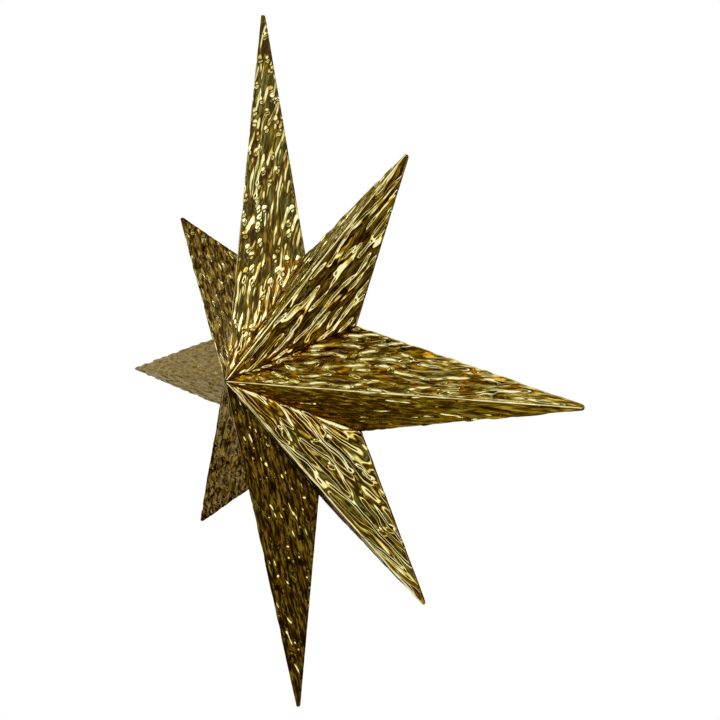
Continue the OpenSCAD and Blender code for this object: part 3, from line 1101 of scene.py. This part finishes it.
def drawn_brass():
    """Brass tube with lengthwise marks from drawing, and turned rings on its closed end."""
    finish = settings_of("star_finish")
    material, board = new_material("drawn brass")
    normal = board.coordinates("Normal")
    at = normal.out("Object")
    x, y, z = board.parts(at)
    upward = board.step(abs(board.parts(normal)[2]), 0.6, 0.8)
    radius = board.maths("SQRT", x * x + y * y)
    length_lines = board.cloud(at * (MARKS_ACROSS, MARKS_ACROSS, MARKS_ALONG), 2.0, 0.5)
    rings = board.cloud(board.join(radius * MARKS_ACROSS, z * MARKS_ALONG, 0.0), 2.0, 0.5)
    grain = board.between(length_lines, rings, upward)
    tarnish = board.step(board.cloud(at * (75.0, 75.0, 60.0), 5.0, 0.65), 0.53, 0.76)
    # Hands rub the mouth of the sleeve bright, and the closed seam is a dark line down its back
    handled = board.step(z, 30 * MM, 0.0) * board.step(tarnish, 0.5, 0.2)
    seam = board.step(abs(x), 0.45 * MM, 0.1 * MM) * (y > 9 * MM)
    # Painted reflection of a room, in bands round the tube and its lid
    colour = painted_room_reflection(board, normal, at, finish)
    colour = board.mix(grain * 0.25, colour, opaque(finish.brass_dark))
    colour = board.mix(tarnish * 0.55, colour, opaque(finish.tarnish))
    colour = board.mix(handled * 0.2, colour, opaque(finish.pale))
    colour = board.mix(seam * 0.8, colour, opaque(finish.umber))
    metal(board, colour, 0.18 + grain * 0.14 + tarnish * 0.16, grain, 0.25, 0.04 * MM)
    return material
# The sleeve's lips are rounded by this share of its wall
LIP_SHARE = 0.3
TUBE_BEARINGS = 176
TUBE_ROWS = 40
# In degrees: the mesh's own lines beside the sleeve's seam, how far from the seam they take
# the place of the even ones, and half the width of the seam's groove
SEAM_LINES = (-1.2, -0.8, -0.5, -0.2, 0.2, 0.5, 0.8, 1.2)
SEAM_CLEAR = 1.4
SEAM_HALF_WIDTH = 0.8
# How far the tube's outside is from truly round
WAVE_DEPTH = 0.04 * MM
LID_BEARINGS = 128
# The dent of the lathe's centre in the lid: shares of its radius, and depths
DENT_PROFILE = ((1, 0.01 * MM), (0.8, 0.06 * MM), (0.45, 0.2 * MM), (0, 0.3 * MM))


class STAR_OT_sleeve(bpy.types.Operator):
    """Makes the branch sleeve with its seam, and the lid that closes it"""

    bl_idname = "star.sleeve"
    bl_label = "Sleeve and lid"

    def execute(self, context):
        brass = drawn_brass()
        self.tube(brass)
        self.lid(brass)
        return {"FINISHED"}

    def tube(self, brass):
        """A rolled tube with rounded lips and a closed seam down its back."""
        hardware = settings_of("star_hardware")
        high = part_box("branch_sleeve")[1]
        outer, wall, length = high.x, hardware.sleeve_wall, high.z
        lip = LIP_SHARE * wall
        heights = [lip + (length - 2 * lip) * i / TUBE_ROWS for i in range(TUBE_ROWS + 1)]
        profile = [(outer, z) for z in heights[:-1]]
        profile += arc((outer - lip, length - lip), lip, 0, 90, 4)
        profile += arc((outer - wall + lip, length - lip), lip, 90, 180, 4)
        profile += [(outer - wall, z) for z in reversed(heights[1:-1])]
        profile += arc((outer - wall + lip, lip), lip, 180, 270, 4)
        profile += arc((outer - lip, lip), lip, 270, 360, 4)[:-1]
        seam = math.radians(90)
        near = [seam + math.radians(a) for a in SEAM_LINES]
        far = [a for a in bearings_of(TUBE_BEARINGS) if abs(a - seam) > math.radians(SEAM_CLEAR)]
        bearings = sorted(far + near)
        mesh = turned("rolled_sleeve", profile, bearings, hollow=True)
        for vertex in mesh.vertices:
            spot = vertex.co
            bearing = math.atan2(spot.y, spot.x)
            radius = math.hypot(spot.x, spot.y)
            cut = max(0.0, 1 - abs(bearing - seam) / math.radians(SEAM_HALF_WIDTH))
            sunk = hardware.seam_depth * cut if radius > outer - wall / 2 else 0
            wave = WAVE_DEPTH * noise.noise(Vector((spot.x * 90, spot.y * 90, spot.z * 40)))
            share = (radius - sunk - abs(wave)) / radius
            spot.x *= share
            spot.y *= share
        piece = bare("rolled_sleeve", mesh)
        piece.data.materials.append(brass)
        hand_over(soften(piece), "sleeve_brass", "branch_sleeve")

    def lid(self, brass):
        """A turned disc with a rounded rim and the small dent of the lathe's centre."""
        low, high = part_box("sleeve_lid")
        rim = 0.3 * MM
        crown = 0.12 * MM
        dent = 0.7 * MM
        steps = 14
        profile = [(0, low.z)]
        profile += [(high.x * i / 6, low.z) for i in range(1, 6)]
        profile += arc((high.x - rim / 2, low.z + rim / 2), rim / 2, 270, 360, 3)
        profile += arc((high.x - rim, high.z - rim - crown), rim, 0, 90, 5)
        for i in range(1, steps):
            share = 1 - i / steps
            radius = dent + (high.x - rim - dent) * share
            profile.append((radius, high.z - crown * share * share))
        profile += [(dent * share, high.z - depth) for share, depth in DENT_PROFILE]
        piece = bare("turned_lid", turned("turned_lid", profile, bearings_of(LID_BEARINGS)))
        piece.data.materials.append(brass)
        hand_over(soften(piece), "sleeve_brass", "sleeve_lid")


RIVET_INPUTS = {
    "NodeSocketVector": ("Centre",),
    "NodeSocketFloat": ("Width", "Height"),
    "NodeSocketInt": ("Seed",),
    "NodeSocketMaterial": ("Material",),
}
def rivet_tree():
    """The tree that sets one rivet at the four corners of a rectangle, each at its own turn."""
    board, given = new_group("rivets", RIVET_INPUTS)
    corners = board.add("GeometryNodeMeshGrid", {}, {
        "Size X": given["Width"], "Size Y": given["Height"], "Vertices X": 2, "Vertices Y": 2})
    upright = board.add("GeometryNodeTransform", {}, {
        "Geometry": corners, "Translation": given["Centre"], "Rotation": (math.radians(90), 0, 0)})
    turn = board.add(
        "FunctionNodeRandomValue", {"data_type": "FLOAT"},
        {"Min_001": 0.0, "Max_001": math.tau, "Seed": given["Seed"]}, "Value_001")
    spun = board.add("FunctionNodeEulerToRotation", {}, {"Euler": board.join(0.0, turn, 0.0)})
    rivets = board.add("GeometryNodeInstanceOnPoints", {}, {
        "Points": upright, "Instance": given["Geometry"], "Rotation": spun})
    return end_group(board, rivets, given["Material"])


def peened_brass():
    """Bright rivet brass, marked by the hammer and darker in its wear."""
    finish = settings_of("star_finish")
    material, board = new_material("peened brass")
    at = board.coordinates("Object")
    marks = board.add(
        "ShaderNodeTexVoronoi", {"feature": "SMOOTH_F1"},
        {"Vector": at, "Scale": 900.0, "Smoothness": 0.4}, "Distance")
    fine = board.cloud(at * 2600.0, 3.0)
    worn = board.cloud(at * 420.0, 3.0)
    colour = board.mix(worn, opaque(finish.brass), opaque(finish.pale))
    colour = board.mix(board.step(fine, 0.62, 0.75) * 0.5, colour, opaque(finish.tarnish))
    rough = 0.18 + worn * 0.16 + fine * 0.06
    metal(board, colour, rough, marks + fine * 0.15, 0.5, 0.12 * MM)
    return material
RIVET_BEARINGS = 48
# The rounding under a rivet's head, and how deep the hammer marks the head behind
HEAD_EDGE = 0.16 * MM
HAMMER_DEPTH = 0.16 * MM
# The part of its curve, from the middle out, that the head's dome is drawn on
DOME_SHARES = (0.12, 0.93)


class STAR_OT_rivets(bpy.types.Operator):
    """Closes the four rivets through the straps and the saddles"""

    bl_idname = "star.rivets"
    bl_label = "Rivets"

    def execute(self, context):
        hardware = settings_of("star_hardware")
        low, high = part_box("saddle_rivets")
        head, rise = hardware.head_diameter / 2, hardware.head_height
        grip = high.y - low.y - 2 * rise
        mesh = self.rivet(head, rise, hardware.shank_diameter / 2, grip)
        values = {
            "Centre": (low + high) / 2,
            "Width": high.x - low.x - 2 * head, "Height": high.z - low.z - 2 * head,
            "Seed": 5, "Material": peened_brass(),
        }
        piece = settled(add_tree(bare("closed_rivets", mesh), rivet_tree(), values))
        hand_over(soften(piece), "rivet_brass", "saddle_rivets")
        return {"FINISHED"}

    def rivet(self, head, rise, shank, grip):
        """One rivet along the Y axis: a factory head in front and a hammered one behind."""
        edge = HEAD_EDGE
        curve = ((head - edge / 2) ** 2 + rise ** 2) / (2 * rise)
        sweep = math.degrees(math.asin((head - edge / 2) / curve))
        top = grip / 2 + rise
        dome = arc((0, top - curve), curve, *(90 - sweep * part for part in DOME_SHARES), 12)
        cap = [(0, dome[0][1])] + dome + [(head, grip / 2 + edge), (head - edge / 2, grip / 2)]
        upper = cap + [(shank + 0.05 * MM, grip / 2), (shank, grip / 2 - 0.1 * MM)]
        profile = upper + [(radius, -height) for radius, height in reversed(upper)]
        mesh = turned("rivet", profile, bearings_of(RIVET_BEARINGS))
        mesh.transform(Matrix.Rotation(math.radians(90), 4, "X"))
        for vertex in mesh.vertices:
            spot = vertex.co
            if spot.y > grip / 2 + edge:
                hammered = 0.5 + 0.5 * noise.noise(spot * 900)
                spot.y -= HAMMER_DEPTH * hammered * (spot.y - grip / 2) / rise
        return mesh


# The lamps: their names, places, diameters and powers
LAMPS = (
    ("key", (1.25, -1.0, 0.2), 0.35, 1.2),
    ("fill", (-1.2, -0.9, 0.5), 0.5, 1.2),
    ("top", (-0.2, -0.5, 1.5), 0.5, 1.5),
)


class STAR_OT_stage(bpy.types.Operator):
    """Sets up the floor, the surroundings, the lamps and the camera"""

    bl_idname = "star.stage"
    bl_label = "Studio"

    def execute(self, context):
        studio = settings_of("star_studio")
        self.surroundings(studio)
        self.floor(studio)
        self.lamps()
        self.camera(studio)
        context.scene.view_settings.view_transform = "Standard"
        return {"FINISHED"}

    def surroundings(self, studio):
        """A white wall and horizon, a little darker overhead."""
        world = bpy.data.worlds.new("studio")
        world.use_nodes = True
        bpy.context.scene.world = world
        board = Board(world.node_tree)
        board.tree.nodes.clear()
        up = board.parts(board.coordinates("Generated"))[2]
        level = board.between(studio.backdrop, studio.ceiling, board.step(up, 0.55, 0.9))
        light = board.add("ShaderNodeBackground", {}, {"Color": (1, 1, 1, 1), "Strength": level})
        board.add("ShaderNodeOutputWorld", {}, {"Surface": light})

    def floor(self, studio):
        """A plain pale floor, well below the star, that runs into the white wall."""
        bpy.ops.mesh.primitive_circle_add(
            vertices=96, radius=studio.floor_radius, fill_type="NGON",
            location=(0, 0, -studio.floor_drop))
        floor = bpy.context.object
        floor.name = "floor"
        material, board = new_material("pale floor")
        at = board.coordinates("Object")
        speck = board.cloud(at * 40.0, 3.0)
        colour = board.mix(speck, linear("e4e4e2"), linear("f0f0ee"))
        cloth = board.add("ShaderNodeBsdfPrincipled", {}, {"Base Color": colour, "Roughness": 0.8})
        wall = board.add("ShaderNodeEmission", {}, {"Color": (1, 1, 1, 1), "Strength": 1.0})
        away = board.vector("LENGTH", at) / studio.floor_radius
        shader = board.add("ShaderNodeMixShader", {}, {
            "Fac": board.step(away, 0.45, 0.92), "Shader": cloth, "Shader_001": wall})
        board.add("ShaderNodeOutputMaterial", {}, {"Surface": shader})
        floor.data.materials.append(material)

    def lamps(self):
        """Soft lamps: one high in front to the right, one low to the left and one overhead."""
        for name, spot, size, power in LAMPS:
            data = bpy.data.lights.new(name, "AREA")
            data.shape = "DISK"
            data.size = size
            data.energy = power
            lamp = bpy.data.objects.new(name, data)
            bpy.context.scene.collection.objects.link(lamp)
            lamp.location = spot
            lamp.rotation_euler = (CENTRE - Vector(spot)).to_track_quat("-Z", "Y").to_euler()

    def camera(self, studio):
        """The camera, where the photograph was taken from."""
        data = bpy.data.cameras.new("camera")
        data.lens = studio.lens
        data.sensor_width = 36
        data.clip_start = 0.01
        camera = bpy.data.objects.new("camera", data)
        bpy.context.scene.collection.objects.link(camera)
        turn = Matrix.Rotation(studio.yaw, 4, "Z")
        tilt = Matrix.Rotation(math.radians(90) + studio.pitch, 4, "X")
        roll = Matrix.Rotation(studio.roll, 4, "Z")
        camera.matrix_world = Matrix.Translation(studio.eye) @ turn @ tilt @ roll
        bpy.context.scene.camera = camera


class STAR_PT_sidebar(bpy.types.Panel):
    """Lists the pieces of the star in the 3D view's sidebar"""

    bl_idname = "STAR_PT_sidebar"
    bl_label = "Topper star"
    bl_space_type = "VIEW_3D"
    bl_region_type = "UI"
    bl_category = "Star"

    def draw(self, context):
        for group in map(settings_of, GROUPS):
            for name in group.bl_rna.properties.keys():
                if name not in ("rna_type", "name"):
                    self.layout.prop(group, name)
        for operator in OPERATORS:
            self.layout.operator(operator.bl_idname)


OPERATORS = (
    STAR_OT_points,
    STAR_OT_solder,
    STAR_OT_straps,
    STAR_OT_sleeve,
    STAR_OT_rivets,
    STAR_OT_stage,
)
GROUPS = {
    "star_sheet": SheetSettings,
    "star_finish": FinishSettings,
    "star_hardware": HardwareSettings,
    "star_studio": StudioSettings,
}


def register():
    """Adds the settings, the operators and the panel."""
    for kind in (*GROUPS.values(), *OPERATORS, STAR_PT_sidebar):
        bpy.utils.register_class(kind)
    for name, kind in GROUPS.items():
        setattr(bpy.types.Scene, name, bpy.props.PointerProperty(type=kind))


def unregister():
    """Takes the settings, the operators and the panel away."""
    for name in GROUPS:
        delattr(bpy.types.Scene, name)
    for kind in (STAR_PT_sidebar, *reversed(OPERATORS), *reversed(tuple(GROUPS.values()))):
        bpy.utils.unregister_class(kind)


def main():
    """Builds the star and its studio."""
    register()
    bpy.ops.star.points()
    bpy.ops.star.solder()
    bpy.ops.star.straps()
    bpy.ops.star.sleeve()
    bpy.ops.star.rivets()
    bpy.ops.star.stage()


if __name__ == "__main__":
    main()
